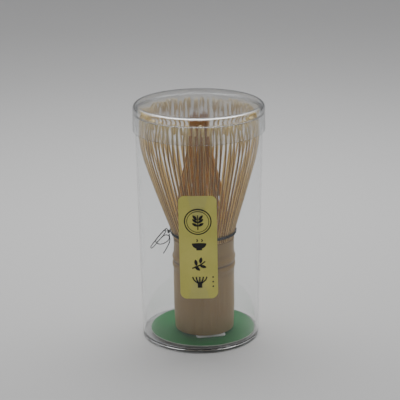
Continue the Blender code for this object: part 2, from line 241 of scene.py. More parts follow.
def travelled(line):
    """How far along the line each of its points is: the sum of the straight steps to it."""
    return np.concatenate([[0], np.cumsum(np.linalg.norm(np.diff(line, axis=0), axis=1))])


def full_turn(steps):
    """Even angles, once round."""
    return np.linspace(0, 2 * math.pi, steps, endpoint=False)


def rounded(corners, steps=6):
    """The outline through corners (r, z, radius). Each corner is replaced by the arc of its
    radius that touches both sides: its middle is on the corner's bisector, at radius over the
    sine of half the angle. Long straight runs get a point near each end, which keeps them flat."""
    place, radius = np.split(np.array(corners, float), [2], axis=1)
    back, ahead = unit(np.roll(place, 1, 0) - place), unit(np.roll(place, -1, 0) - place)
    half = np.arccos(np.clip((back * ahead).sum(1, keepdims=True), -1, 0.999)) / 2
    half = np.minimum(half, math.pi / 2 - 0.001)
    middle = place + (back + ahead) / (2 * np.cos(half)) * radius / np.sin(half)
    start = place + back * radius / np.tan(half) - middle
    end = place + ahead * radius / np.tan(half) - middle
    turn = math.pi - 2 * half[:, None]
    share = np.linspace(0, 1, steps + 1)[None, :, None]
    arcs = middle[:, None] + (
        np.sin((1 - share) * turn) * start[:, None] + np.sin(share * turn) * end[:, None]
    ) / np.sin(turn)
    line = arcs.reshape(-1, 2)
    gaps = np.linalg.norm(np.diff(line, axis=0), axis=1)
    line = line[np.concatenate([[True], gaps > 1e-5])]
    along = travelled(line)
    long = np.diff(along) > FLAT_RUN
    extra = np.concatenate([along[:-1][long] + FLAT_END, along[1:][long] - FLAT_END])
    spots = np.sort(np.concatenate([along, extra]))
    return np.stack([np.interp(spots, along, line[:, k]) for k in (0, 1)], axis=1)


def turned(outline, steps, centre=(0, 0)):
    """One tube of points: the outline (r, z) carried round the Z axis, as r times the cosine and
    sine of the angle, with z as it is."""
    angle = full_turn(steps)[None, :]
    r, z = outline[:, 0, None], outline[:, 1, None]
    x, y = centre[0] + r * np.cos(angle), centre[1] + r * np.sin(angle)
    return np.stack([x, y, z + 0 * angle], axis=-1)[None]


def add_piece(name, points, *materials, ring=False, finish_of_row=None, **values):
    """A piece at the origin, from closed tubes of points (tube, row, column) in millimetres.
    Columns run round a tube and join up, and rows run along it and join up only on a ring. A row
    drawn in to one point closes an end. finish_of_row says which material each row takes, and
    values are numbers or vectors kept on each point, by name."""
    tubes, rows, columns, _ = points.shape
    row = np.arange(rows if ring else rows - 1)[:, None]
    column = np.arange(columns)[None, :]
    near, far = row * columns, (row + 1) % rows * columns
    after = (column + 1) % columns
    quads = np.stack([near + column, near + after, far + after, far + column], axis=-1)
    starts = np.arange(tubes)[:, None, None, None] * rows * columns
    quads = (quads[None] + starts).reshape(-1, 4)
    mesh = bpy.data.meshes.new(name)
    mesh.vertices.add(tubes * rows * columns)
    mesh.vertices.foreach_set("co", (points * MM).ravel())
    mesh.loops.add(quads.size)
    mesh.loops.foreach_set("vertex_index", quads.ravel())
    mesh.polygons.add(len(quads))
    mesh.polygons.foreach_set("loop_start", np.arange(0, quads.size, 4))
    if finish_of_row is not None:
        slots = np.broadcast_to(finish_of_row[None, :len(row), None], (tubes, len(row), columns))
        mesh.polygons.foreach_set("material_index", slots.ravel().astype(np.int32))
    mesh.update(calc_edges=True)
    for label, value in values.items():
        size = points.shape[:3] + ((3,) if value.ndim == 4 else ())
        layer = mesh.attributes.new(label, "FLOAT_VECTOR" if value.ndim == 4 else "FLOAT", "POINT")
        kept = np.broadcast_to(value, size).astype(np.float32).ravel()
        layer.data.foreach_set("vector" if value.ndim == 4 else "value", kept)
    bm = bmesh.new()
    bm.from_mesh(mesh)
    bmesh.ops.remove_doubles(bm, verts=bm.verts, dist=WELD)
    bmesh.ops.recalc_face_normals(bm, faces=bm.faces)
    bm.to_mesh(mesh)
    bm.free()
    mesh.shade_smooth()
    mesh.set_sharp_from_angle(angle=SHARP_FROM)
    for material in materials:
        mesh.materials.append(material)
    piece = bpy.data.objects.new(name, mesh)
    scene.collection.objects.link(piece)
    return piece


def wall_radius(height):
    """Outer radius of the drafted tub: a straight line from the foot's to the rim's."""
    return FOOT_RADIUS + (RIM_RADIUS - FOOT_RADIUS) * height / TUB_HEIGHT


def clear_polystyrene(name, tint, least_dull, most_dull):
    """Clear moulded polystyrene: water-clear, IOR 1.59, with a hard gloss that fine scuffs dull in
    patches. Light that only passes through goes straight on, so the case throws no dark shadow,
    but for its foot, whose ring turns light away from the paper under it."""
    material, tree, place = new_material(name)
    shader = tree.nodes["Principled BSDF"]
    scuffs = add_node(tree, "TexNoise", {"Vector": place, "Scale": 1 / (9 * MM), "Detail": 3.0})
    dulled = add_node(
        tree, "MapRange", {"Value": scuffs.outputs["Fac"], "From Min": 0.45, "From Max": 0.8,
                           "To Min": least_dull, "To Max": most_dull},
    )
    set_inputs(tree, shader, {"Base Color": linear(tint), "Transmission Weight": 1.0, "IOR": 1.59,
                              "Roughness": dulled.outputs["Result"]})
    path = add_node(tree, "LightPath", {})
    passing = add_node(
        tree, "Math", {0: path.outputs["Is Shadow Ray"], 1: path.outputs["Is Diffuse Ray"]},
        operation="MAXIMUM",
    )
    parts = add_node(tree, "SeparateXYZ", {"Vector": place})
    foot = add_node(tree, "MapRange", {"Value": parts.outputs["Z"], "From Min": 0.2 * MM,
                                       "From Max": 2.6 * MM, "To Min": 0.5, "To Max": 0.96})
    through = add_node(tree, "BsdfTransparent", {"Color": foot.outputs["Result"]})
    both = add_node(
        tree, "MixShader",
        {0: passing.outputs[0], 1: shader.outputs["BSDF"], 2: through.outputs["BSDF"]},
    )
    tree.links.new(both.outputs[0], tree.nodes["Material Output"].inputs["Surface"])
    return material


inner_foot = FOOT_RADIUS - FOOT_WIDTH
tub_outline = rounded([
    (0, FLOOR_TOP, 0),
    (wall_radius(FLOOR_TOP) - TUB_WALL, FLOOR_TOP, 0.5),
    (RIM_RADIUS - TUB_WALL, TUB_HEIGHT, RIM_ROUND),
    (RIM_RADIUS, TUB_HEIGHT, RIM_ROUND),
    (wall_radius(HEEL_HEIGHT), HEEL_HEIGHT, 0.9),
    (FOOT_RADIUS - HEEL_IN, 0, 0.35),
    (inner_foot, 0, 0.25),
    (inner_foot - FOOT_DRAFT, FOOT_DEPTH, 0.25),
    (0, FOOT_DEPTH, 0),
])
tub = add_piece(
    "clear_tub", turned(tub_outline, CASE_STEPS),
    clear_polystyrene("Clear polystyrene", "#fbfcfc", 0.0, 0.06),
)
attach(tub, "case")
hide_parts("case_tub")


# ---- Card ------------------------------------------------------------
# A loose disc of white board, printed green on its top and die cut, so its edge shows white.
# It lies on the tub's floor, a little off the middle.

CARD_RADIUS = 25.2
CARD_TOP = 2.8
CARD_THICKNESS = 0.4
CARD_CENTRE = (1.1, 0.3)
CARD_STEPS = 128
CARD_EDGE = 0.06  # the radius that the die leaves on its edges
PRINT_SHY = 0.04  # the green stops this far short of the edge


def printed_card():
    """Green offset print on white board: satin, with the board's fibre showing as fine specks."""
    material, tree, place = new_material("Green printed board")
    fibre = add_node(tree, "TexNoise", {"Vector": place, "Scale": 1 / (0.6 * MM), "Detail": 4.0})
    cloud = add_node(tree, "TexNoise", {"Vector": place, "Scale": 1 / (14 * MM), "Detail": 1.0})
    speck = add_node(
        tree, "Math", {0: fibre.outputs["Fac"], 1: cloud.outputs["Fac"]}, operation="MULTIPLY",
    )
    spread = add_node(tree, "MapRange", {"Value": speck.outputs[0], "From Min": 0.1, "From Max": 0.42})
    return finish(material, "#045f28", [(spread.outputs["Result"], "#076c2f")],
                  {"Roughness": 0.6, "Specular IOR Level": 0.15},
                  relief=(fibre.outputs["Fac"], 0.25, 0.02))


def white_board():
    """The board's cut edge and back: white pulp, matte and fibrous."""
    material, tree, place = new_material("White board edge")
    fibre = add_node(tree, "TexNoise", {"Vector": place, "Scale": 1 / (0.5 * MM), "Detail": 4.0})
    return finish(material, "#c9cdbd", [(fibre.outputs["Fac"], "#eef0e6")], {"Roughness": 0.85})


card_low = CARD_TOP - CARD_THICKNESS
card_outline = rounded([
    (0, CARD_TOP, 0),
    (CARD_RADIUS, CARD_TOP, CARD_EDGE),
    (CARD_RADIUS, card_low, CARD_EDGE),
    (0, card_low, 0),
])
card_is_cut = card_outline[:, 0] > CARD_RADIUS - PRINT_SHY
card_is_cut |= card_outline[:, 1] < CARD_TOP - CARD_THICKNESS / 2
card = add_piece(
    "green_card", turned(card_outline, CARD_STEPS, CARD_CENTRE), printed_card(), white_board(),
    finish_of_row=card_is_cut,
)
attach(card, "case")
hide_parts("base_card")


# ---- Tape pad --------------------------------------------------------
# A square of white foam mounting tape, cut with scissors, that holds the whisk's foot to the
# card. One edge of it shows in front of the foot.

WHISK_AXIS = np.array([1.8, -1.6])
PAD_SIDE = 14.0
PAD_LOW = 3.1
PAD_TOP = 3.6
PAD_MIDDLE = WHISK_AXIS + (1.9, -6.7)
PAD_TURN = math.radians(11)
PAD_EDGE = 0.08
PAD_SQUARENESS = 14  # the power that gives its corners the scissors' sharpness
PAD_STEPS = 120


def foam_tape():
    """Closed-cell foam: white and matte, pitted with cells about 0.3 mm across."""
    material, tree, place = new_material("White foam tape")
    cells = add_node(tree, "TexVoronoi", {"Vector": place, "Scale": 1 / (0.3 * MM)})
    depth = cells.outputs["Distance"]
    return finish(material, "#e4e6e2", [(depth, "#fafaf8")], {"Roughness": 0.9},
                  relief=(depth, 0.4, 0.05))


def squircle(angle, power):
    """How far a rounded square of half side 1 reaches at an angle: the inverse of the p-norm of
    the direction, where a high power p gives tight corners."""
    return (np.abs(np.cos(angle)) ** power + np.abs(np.sin(angle)) ** power) ** (-1 / power)


def pad_points():
    """The pad's side is the outline of a disc of radius 1, which gives how far each row lies in
    from the edge. Each row goes round the rounded square, drawn in by that much."""
    outline = rounded([
        (0, PAD_TOP, 0), (1, PAD_TOP, PAD_EDGE), (1, PAD_LOW, PAD_EDGE), (0, PAD_LOW, 0),
    ])
    angle = full_turn(PAD_STEPS)
    share, z = outline[:, 0, None], outline[:, 1, None]
    reach = squircle(angle, PAD_SQUARENESS) * PAD_SIDE / 2
    radius = np.where(share > 0.5, reach - (1 - share), 0)
    x = PAD_MIDDLE[0] + radius * np.cos(angle + PAD_TURN)
    y = PAD_MIDDLE[1] + radius * np.sin(angle + PAD_TURN)
    return np.stack([x, y, z + 0 * angle], axis=-1)[None]


pad = add_piece("foam_pad", pad_points(), foam_tape())
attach(pad, "case")
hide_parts("tape_pad")


# ---- Culm handle -----------------------------------------------------
# The whisk's foot: a length of young bamboo culm with its skin left on. It is sawn square below,
# and one joint of the culm shows as two ridges with a groove between them.

HANDLE_FOOT = 3.9
HANDLE_TOP = 48.5
HANDLE_LENGTH = HANDLE_TOP - HANDLE_FOOT
HANDLE_FOOT_RADIUS = 14.0
HANDLE_RADIUS = 14.5
HANDLE_WALL = 4.0
HANDLE_STEPS = 160
NODE_Z = HANDLE_TOP - 10.7
RIDGE_SWELL = 0.55  # how far each of the joint's two ridges stands out,
RIDGE_APART = 1.9  # and how far it is from the groove
GROOVE_DEPTH = 0.32
WAIST_DEPTH = 0.22  # the culm is a little slimmer above its joint
DIAPHRAGM = 2.0
BORE_ROUND = 0.8


def culm_skin():
    """Bamboo skin: waxy and close, buff with fibres that run straight up it a few tenths of a
    millimetre apart, cloudy where the wax has worn, and stained dark in the joint's groove."""
    material, tree, place = new_material("Bamboo culm skin")
    drawn_up = add_node(tree, "Mapping", {"Vector": place, "Scale": (1, 1, 0.03)})
    fibre = add_node(
        tree, "TexNoise", {"Vector": drawn_up.outputs[0], "Scale": 1 / (0.45 * MM), "Detail": 3.0},
    )
    streaks = add_node(
        tree, "TexNoise", {"Vector": drawn_up.outputs[0], "Scale": 1 / (2.6 * MM), "Detail": 2.0},
    )
    cloud = add_node(tree, "TexNoise", {"Vector": place, "Scale": 1 / (9 * MM), "Detail": 3.0})
    lined = add_node(tree, "MapRange", {"Value": fibre.outputs["Fac"], "From Min": 0.35,
                                        "From Max": 0.7, "To Max": 0.45})
    worn = add_node(tree, "MapRange", {"Value": cloud.outputs["Fac"], "From Min": 0.4,
                                       "From Max": 0.75, "To Max": 0.5})
    stain = add_node(tree, "Attribute", {}, attribute_name="stain")
    gloss = add_node(tree, "MapRange", {"Value": cloud.outputs["Fac"], "To Min": 0.34, "To Max": 0.55})
    layers = [
        (streaks.outputs["Fac"], "#ab894b"), (lined.outputs["Result"], "#806029"),
        (worn.outputs["Result"], "#a28852"), (stain.outputs["Fac"], "#5a3f20"),
    ]
    return finish(material, "#9b793c", layers, {"Roughness": gloss.outputs["Result"]},
                  relief=(fibre.outputs["Fac"], 0.35, 0.06))


def cut_bamboo():
    """Sawn end and bore: paler, dull, with the ends of the fibre bundles as dark dots."""
    material, tree, place = new_material("Sawn bamboo")
    bundles = add_node(tree, "TexVoronoi", {"Vector": place, "Scale": 1 / (0.55 * MM)})
    dots = add_node(tree, "MapRange", {"Value": bundles.outputs["Distance"], "From Min": 0.15,
                                       "From Max": 0.4})
    return finish(material, "#8a6a42", [(dots.outputs["Result"], "#cdb68c")], {"Roughness": 0.75})


def bell(value, middle, width):
    """A bump of height 1 at the middle: e to the minus square of the distance over the width."""
    return np.exp(-(((value - middle) / width) ** 2))


def culm_points():
    """The outline starts on top of the joint's inner wall. It goes out and up the bore above, down
    the skin, across the sawn foot and up the bore below, to the wall's underside. The skin's
    radius tapers to the foot, swells in two ridges at the joint and dips between them, and wavers
    a little round and along. Also gives how dark the stain is at each point."""
    bore = HANDLE_RADIUS - HANDLE_WALL
    skin_z = np.concatenate([
        np.linspace(HANDLE_TOP, NODE_Z + 7, 8), np.linspace(NODE_Z + 6.8, NODE_Z - 6.8, 60),
        np.linspace(NODE_Z - 7.2, HANDLE_FOOT + 0.5, 24),
    ])
    risen = np.clip((skin_z - HANDLE_FOOT) / (HANDLE_LENGTH / 4), 0, 1)
    skin_r = HANDLE_FOOT_RADIUS + (HANDLE_RADIUS - HANDLE_FOOT_RADIUS) * risen
    for side in (1, -1):
        skin_r += RIDGE_SWELL * bell(skin_z, NODE_Z + side * RIDGE_APART, 1.25)
    skin_r -= GROOVE_DEPTH * bell(skin_z, NODE_Z, 0.55) + WAIST_DEPTH * bell(skin_z, NODE_Z + 7.5, 3.2)
    wall_low, wall_high = NODE_Z - DIAPHRAGM / 2, NODE_Z + DIAPHRAGM / 2
    foot = rounded([
        (skin_r[-1], skin_z[-1], 0), (HANDLE_FOOT_RADIUS, HANDLE_FOOT, 0.3), (bore, HANDLE_FOOT, 0.2),
        (bore, wall_low, BORE_ROUND), (0, wall_low, 0),
    ])
    top = rounded([
        (0, wall_high, 0), (bore, wall_high, BORE_ROUND), (bore, HANDLE_TOP, 0.1),
        (skin_r[0], HANDLE_TOP, 0.05), (skin_r[0], HANDLE_TOP - 0.3, 0),
    ])
    skin = np.stack([skin_r, skin_z], axis=1)[1:]
    outline = np.concatenate([top, skin, foot[1:]])
    points = turned(outline, HANDLE_STEPS, WHISK_AXIS)
    angle = full_turn(HANDLE_STEPS)
    z = points[0, :, :, 2]
    on_skin = (outline[:, 0] > HANDLE_FOOT_RADIUS - 0.3)[:, None]
    waver = 0.10 * np.cos(2 * angle + 0.6) + 0.05 * np.cos(5 * angle + z / 9) + 0.03 * np.sin(11 * angle)
    shift = np.where(on_skin, waver, 0)
    ripple = 0.25 * np.sin(2 * angle + 1.0) + 0.12 * np.sin(5 * angle)
    points[0, :, :, 0] += shift * np.cos(angle)
    points[0, :, :, 1] += shift * np.sin(angle)
    points[0, :, :, 2] += np.where(on_skin, ripple * bell(z, NODE_Z, 3.5), 0)
    groove = np.where(on_skin, 0.85 * bell(z, NODE_Z + ripple, 0.5), 0)
    shade = 0.18 * bell(z, NODE_Z + 4.6, 1.2) + 0.16 * bell(z, NODE_Z - 4.6, 1.4)
    stain = np.clip(groove + np.where(on_skin, shade, 0), 0, 1)
    return outline, points, stain[None]


culm_outline, culm_grid, culm_stain = culm_points()
culm_is_cut = culm_outline[:, 0] < HANDLE_FOOT_RADIUS - 0.25
culm = add_piece(
    "culm_handle", culm_grid, culm_skin(), cut_bamboo(), finish_of_row=culm_is_cut, stain=culm_stain,
)
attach(culm, "whisk")
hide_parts("bamboo_handle")


# ---- Outer tines -----------------------------------------------------
# Above the joint the culm's wall is split into some seventy tines, shaved thin from the inside
# and steamed, so that they flare out and their tips curl in. All of them are one piece with the
# culm. The tub's wall centres the springy crown, so it leans back to the tub's axis.

TINE_COUNT = 72
TINE_SIDES = 8
ROOT_LOW = HANDLE_TOP + 0.02  # the unsplit root is a ring from here
ROOT_TIP = 49.3  # to here, and the tines start inside it
SLIT_BOTTOM = 49.1
ROOT_TOP = 50.3  # the height from which a tine's rise is counted
ROOT_THICKNESS = 1.0
ROOT_STEPS = 144
CROWN_LENGTH = 60.3
CROWN_RADIUS = 28.2
TIPS_LIT_FROM = 97  # the height above which the tips are painted towards the tip colour, on the outer crown a painted highlight where the light from above falls on them


def smooth_line(points, steps):
    """A smooth curve through the points, as a Catmull-Rom spline: between two points it is the
    cubic whose slope at each is half the step from the point before it to the one after."""
    p = np.array(points, float)
    p = np.concatenate([[2 * p[0] - p[1]], p, [2 * p[-1] - p[-2]]])
    a, b, c, d = (p[i:len(p) - 3 + i, None] for i in range(4))
    t = np.linspace(0, 1, steps, endpoint=False)[None, :, None]
    bend = (2 * a - 5 * b + 4 * c - d) * t**2 + (3 * b - a - 3 * c + d) * t**3
    cubic = 0.5 * (2 * b + (c - a) * t + bend)
    return np.concatenate([cubic.reshape(-1, p.shape[1]), p[-2:-1]])


def crown_centre(height):
    """Where the crown's middle lies: over the handle at the roots, and towards the tub's axis by
    the square of how far it still has to rise."""
    risen = np.clip((height - HANDLE_TOP) / CROWN_LENGTH, 0, 1)
    return WHISK_AXIS * ((1 - risen) ** 2)[..., None]


def blunted(wave):
    """A sine or cosine drawn out towards 1 and -1, by a power of 0.6, which squares a circle."""
    return np.sign(wave) * np.abs(wave) ** 0.6


def tine_tubes(radius, height, angle, width, thickness):
    """Tines as tubes. radius, height and angle say where the outside of each tine runs, as (tine,
    row). The section is a rounded oblong, width across and thickness inwards at right angles to
    the tine, drawn in to a point at both ends. Also gives each point's place in the split bamboo:
    which tine, how far up, and how far in from the skin."""
    run, rise = np.gradient(radius, axis=1), np.gradient(height, axis=1)
    length = np.hypot(run, rise)
    run, rise = (run / length)[..., None], (rise / length)[..., None]
    round_it = 2 * math.pi * (np.arange(TINE_SIDES) + 0.5) / TINE_SIDES
    across = blunted(np.cos(round_it)) / 2
    inwards = 0.5 - blunted(np.sin(round_it)) / 2
    closing = np.ones(radius.shape[1])
    closing[[0, -1]] = 0
    across = across * closing[:, None] * width[..., None]
    inwards = (0.5 + (inwards - 0.5) * closing[:, None]) * thickness[..., None]
    r = radius[..., None] - rise * inwards
    z = height[..., None] + run * inwards
    out = np.stack([np.cos(angle), np.sin(angle)], axis=-1)[:, :, None]
    side = np.stack([-np.sin(angle), np.cos(angle)], axis=-1)[:, :, None]
    flat = crown_centre(z) + out * r[..., None] + side * across[..., None]
    points = np.concatenate([flat, z[..., None]], axis=-1)
    which = np.arange(len(radius))[:, None, None] + 0 * z
    return points, np.stack([which, z, inwards / thickness[..., None]], axis=-1)


def split_bamboo(name, skin, flesh, dark, tip):
    """Split and shaved bamboo: the skin side is buff and waxy, and the shaved sides are paler and dull.
    Each tine has its own shade, with fibres that run its whole length. Near the top it goes over to the
    tip colour, which on the outer crown is a painted highlight where the light from above falls on the
    tips."""
    material, tree, _ = new_material(name)
    grain = add_node(tree, "Attribute", {}, attribute_name="grain").outputs["Vector"]
    parts = add_node(tree, "SeparateXYZ", {"Vector": grain})
    shade = add_node(tree, "TexWhiteNoise", {"W": parts.outputs["X"]}, noise_dimensions="1D")
    drawn_up = add_node(tree, "Mapping", {"Vector": grain, "Scale": (3.7, 0.06, 2.5)})
    fibre = add_node(tree, "TexNoise", {"Vector": drawn_up.outputs[0], "Scale": 1.0, "Detail": 3.0})
    sides = add_node(tree, "MapRange", {"Value": parts.outputs["Z"], "From Min": 0.03, "From Max": 0.2})
    uneven = add_node(
        tree, "Math", {0: shade.outputs["Value"], 1: fibre.outputs["Fac"]}, operation="MULTIPLY",
    )
    depth = add_node(tree, "MapRange", {"Value": uneven.outputs[0], "From Min": 0.05, "From Max": 0.6,
                                        "To Max": 0.75})
    # Painted light: from this height up the tines turn to the tip colour, paler on the outer crown where
    # the light from above falls on the tips.
    high = add_node(tree, "MapRange", {"Value": parts.outputs["Y"], "From Min": TIPS_LIT_FROM,
                                       "From Max": TIPS_LIT_FROM + 12, "To Max": 0.7})
    gloss = add_node(tree, "MapRange", {"Value": parts.outputs["Z"], "To Min": 0.38, "To Max": 0.6})
    layers = [
        (sides.outputs["Result"], flesh), (depth.outputs["Result"], dark), (high.outputs["Result"], tip),
    ]
    return finish(material, skin, layers,
                  {"Roughness": gloss.outputs["Result"], "Specular IOR Level": 0.3})


def outer_crown():
    """Each tine follows the crown's line (share of the flare, share of the length) with a small
    error of its own in angle, reach, height and curl, which grows with the square of its rise.
    Past the crest its tip hooks down, and leans to one side by another error of its own."""
    luck = np.random.default_rng(7)
    line = smooth_line([
        (0.0, -0.02), (0.065, 0.05), (0.28, 0.2), (0.52, 0.37), (0.87, 0.64), (0.995, 0.81),
        (0.985, 0.92), (0.93, 0.975), (0.84, 0.998), (0.75, 0.985), (0.69, 0.95), (0.66, 0.91),
    ], 5)
    reach, rise = line[:, 0], np.clip(line[:, 1], 0, 1)
    error = luck.normal(size=(5, TINE_COUNT, 1))
    hooked = np.clip((0.95 - reach) / 0.29, 0, 1) * (line[:, 1] > 0.8)
    curl = np.clip((rise - 0.85) / 0.15, 0, 1) * (line[:, 1] > 0.8)
    radius = HANDLE_RADIUS + (CROWN_RADIUS - HANDLE_RADIUS) * reach[None]
    radius = radius + np.clip(error[0], -1.2, 1.2) * 0.35 * rise**2 - np.abs(error[1]) * 0.5 * curl
    height = ROOT_TOP + CROWN_LENGTH * line[:, 1][None] - np.abs(error[2]) * 0.9 * rise**2
    height[:, 0] = SLIT_BOTTOM
    pitch = 2 * math.pi / TINE_COUNT
    angle = pitch * (np.arange(TINE_COUNT)[:, None] + 0.14 * np.clip(error[3], -2, 2) * rise**2)
    angle = angle + pitch * 0.42 * np.clip(error[4], -1.6, 1.6) * hooked
    width = np.interp(rise, [0, 0.1, 0.4, 0.9, 1], [1.1, 1.02, 0.98, 0.93, 0.9])[None] + 0 * angle
    thickness = np.interp(rise, [0, 0.1, 0.4, 0.9, 1], [0.95, 0.75, 0.58, 0.5, 0.48])[None] + 0 * angle
    return tine_tubes(radius + 0 * angle, height, angle, width, thickness)


outer_points, outer_grain = outer_crown()
# The last colour is the tips' painted highlight, paler where the light from above falls on them.
outer_bamboo = split_bamboo("Split bamboo", "#9f702a", "#f5d88e", "#684416", "#f2dc98")
outer = add_piece("outer_crown", outer_points, outer_bamboo, grain=outer_grain)
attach(outer, "whisk")
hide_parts("outer_tines")


def root_ring(outside):
    """The unsplit wood under a row of tines: a ring of oblong section on the handle's top."""
    inside = outside - ROOT_THICKNESS
    section = [
        (outside, ROOT_TIP, 0.05), (outside, ROOT_LOW, 0.02),
        (inside, ROOT_LOW, 0.02), (inside, ROOT_TIP, 0.05),
    ]
    return turned(rounded(section), ROOT_STEPS, WHISK_AXIS)


root_points = root_ring(HANDLE_RADIUS)
root = add_piece(
    "outer_root", root_points, bpy.data.materials["Bamboo culm skin"], ring=True,
    stain=0 * root_points[..., 0],
)
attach(root, "whisk")


# ---- Inner tines -----------------------------------------------------
# The inner half of the culm's wall, split the same way and gathered into a loose bundle in the middle.
# It is browner, partly because it is the culm's softer inner wood and partly as painted shade, for the
# shadow inside the crowded bundle and under the outer crown.

BUNDLE_RADIUS = 4.4
ROW_GAP = 0.3
INNER_ROOT_RADIUS = HANDLE_RADIUS - ROOT_THICKNESS - ROW_GAP


def inner_crown():
    """Each tine follows the bundle's line (share of the narrowing, share of the length). It sinks
    into the bundle by a share of its own and leans round it, both by how far it has come in."""
    luck = np.random.default_rng(11)
    line = smooth_line(
        [(1.0, -0.02), (0.96, 0.08), (0.7, 0.36), (0.3, 0.62), (0.05, 0.84), (0.0, 0.98)], 7,
    )
    sunk = luck.random((TINE_COUNT, 1))
    lean = luck.normal(size=(TINE_COUNT, 1))
    shorter = luck.random((TINE_COUNT, 1))
    come_in = np.clip(1 - line[:, 0], 0, 1)[None]
    rise = np.clip(line[:, 1], 0, 1)[None]
    radius = BUNDLE_RADIUS + (INNER_ROOT_RADIUS - BUNDLE_RADIUS) * line[:, 0][None]
    radius = radius * (1 - 0.55 * sunk**2 * come_in)
    height = ROOT_TOP + CROWN_LENGTH * line[:, 1][None] - 3.6 * shorter * rise**3
    height[:, 0] = SLIT_BOTTOM
    angle = 2 * math.pi * np.arange(TINE_COUNT)[:, None] / TINE_COUNT + (0.12 * lean + 0.1) * come_in
    width = np.interp(rise[0], [0, 0.1, 0.5, 1], [0.95, 0.85, 0.7, 0.55])[None] + 0 * angle
    thickness = np.interp(rise[0], [0, 0.1, 0.5, 1], [0.9, 0.65, 0.55, 0.45])[None] + 0 * angle
    return tine_tubes(radius, height, angle, width, thickness)


inner_points, inner_grain = inner_crown()
# The outer crown's colours made browner and darker, partly as painted shade of the crowded bundle.
shaded_inner_bamboo = split_bamboo("Inner split bamboo in painted shade", "#ad7918", "#c48e2a", "#72460a", "#a8701c")
inner = add_piece("inner_crown", inner_points, shaded_inner_bamboo, grain=inner_grain)
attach(inner, "whisk")
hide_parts("inner_tines")

inner_root = add_piece(
    "inner_root", root_ring(INNER_ROOT_RADIUS), bpy.data.materials["Sawn bamboo"], ring=True,
)
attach(inner_root, "whisk")


# ---- Lacing and knot -------------------------------------------------
# One black cotton thread, woven round the roots of the tines to hold the crown open, pulled
# tight and tied off in a small knot on the left.

THREAD_DIAMETER = 0.5
BAND_Z = HANDLE_TOP + 4.0
LACING_TURNS = 3
LACING_STEPS = 220  # points in each turn
LACING_TUCK = 0.03  # the share of a turn that it stops short of the knot, at each end
LACING_PITCH = 0.47
LACING_WAVE = 0.10  # how far it goes in and out between the tines,
LACING_PROUD = 0.15  # about a line this far off their skin
PLY_LENGTH = 1.6  # the length in which the two plies change places
KNOT_ANGLE = math.radians(186)
KNOT_REACH = 16.5
KNOT_SCALE = (0.7, 0.68, 0.68)  # outwards, round the crown and up
KNOT_THREAD = THREAD_DIAMETER * 1.1  # it looks stouter where it is bunched


def thread_tube(line, diameter, sides=10, ring=False):
    """One tube of points: a two-ply thread along a line. At each point two directions square to
    the line carry a circle whose radius swells by a tenth on two sides, and the swelling turns
    half round in each ply length. Also gives how far along the line each point is."""
    if ring:
        ahead, behind = np.roll(line, -1, 0), np.roll(line, 1, 0)
    else:
        ahead, behind = np.concatenate([line[1:], line[-1:]]), np.concatenate([line[:1], line[:-1]])
    along = unit(ahead - behind)
    first = unit(np.cross(along, (0.12, 0.31, 0.94)))
    second = np.cross(along, first)
    angle, far = full_turn(sides)[None], travelled(line)[:, None]
    twist = 2 * math.pi * far / PLY_LENGTH
    radius = diameter / 2 * (0.95 + 0.05 * np.cos(2 * angle - twist))
    tube = line[:, None] + (
        first[:, None] * (radius * np.cos(angle))[..., None]
        + second[:, None] * (radius * np.sin(angle))[..., None]
    )
    if not ring:
        tube[[0, -1]] = line[[0, -1], None]
    return tube[None], far[None] + 0 * tube[None, ..., 0]


def cotton_thread():
    """Dyed cotton sewing thread: near black, matte, with a soft sheen off its loose fibres, and the
    twist of its plies painted as bands of highlight and shade."""
    material, tree, place = new_material("Black cotton thread")
    along = add_node(tree, "Attribute", {}, attribute_name="along").outputs["Fac"]
    fuzz = add_node(tree, "TexNoise", {"Vector": place, "Scale": 1 / (0.12 * MM), "Detail": 3.0})
    # Painted light: a sine along the thread makes it lighter and darker by turns, where the plies would
    # catch light and shade.
    twist = add_node(tree, "Math", {0: along, 1: 2 * math.pi / (PLY_LENGTH / 2)}, operation="MULTIPLY")
    wave = add_node(tree, "Math", {0: twist.outputs[0]}, operation="SINE")
    light = add_node(
        tree, "Math", {0: wave.outputs[0], 1: 0.2, 2: fuzz.outputs["Fac"]}, operation="MULTIPLY_ADD",
    )
    return finish(material, "#030304", [(light.outputs[0], "#0b0b0d")],
                  {"Roughness": 0.9, "Specular IOR Level": 0.1, "Sheen Weight": 0.04},
                  relief=(fuzz.outputs["Fac"], 0.5, 0.04))


def lacing_line():
    """The thread's turns, side by side, from behind the knot round to it again: a helix of small
    pitch about the crown, pressed in between the tines by a small wave at half their number."""
    turn = np.linspace(LACING_TUCK, LACING_TURNS - LACING_TUCK, LACING_STEPS * LACING_TURNS)
    angle = KNOT_ANGLE + 2 * math.pi * turn
    z = BAND_Z + LACING_PITCH * (turn - LACING_TURNS / 2)
    flare = np.interp(z, [ROOT_TOP, ROOT_TOP + 3.0], [0.015, 0.065])
    over = LACING_WAVE * np.cos(angle * TINE_COUNT / 2 + math.pi * np.floor(turn))
    r = HANDLE_RADIUS + (CROWN_RADIUS - HANDLE_RADIUS) * flare
    r = r + THREAD_DIAMETER / 2 + LACING_PROUD + over
    flat = crown_centre(z) + np.stack([r * np.cos(angle), r * np.sin(angle)], axis=1)
    return np.concatenate([flat, z[:, None]], axis=1)


def knot_line():
    """A trefoil knot, which closes on itself. Seen from outside the crown it lies across by
    sin a + 2 sin 2a and up by cos a - 2 cos 2a, both over 3, and in and out by half of sin 3a."""
    turn = full_turn(120)
    trefoil = np.stack([
        -0.5 * np.sin(3 * turn), (np.sin(turn) + 2 * np.sin(2 * turn)) / 3,
        (np.cos(turn) - 2 * np.cos(2 * turn)) / 3,
    ], axis=1)
    return knot_middle + (trefoil * KNOT_SCALE) @ np.array([knot_out, knot_side, (0, 0, 1)])


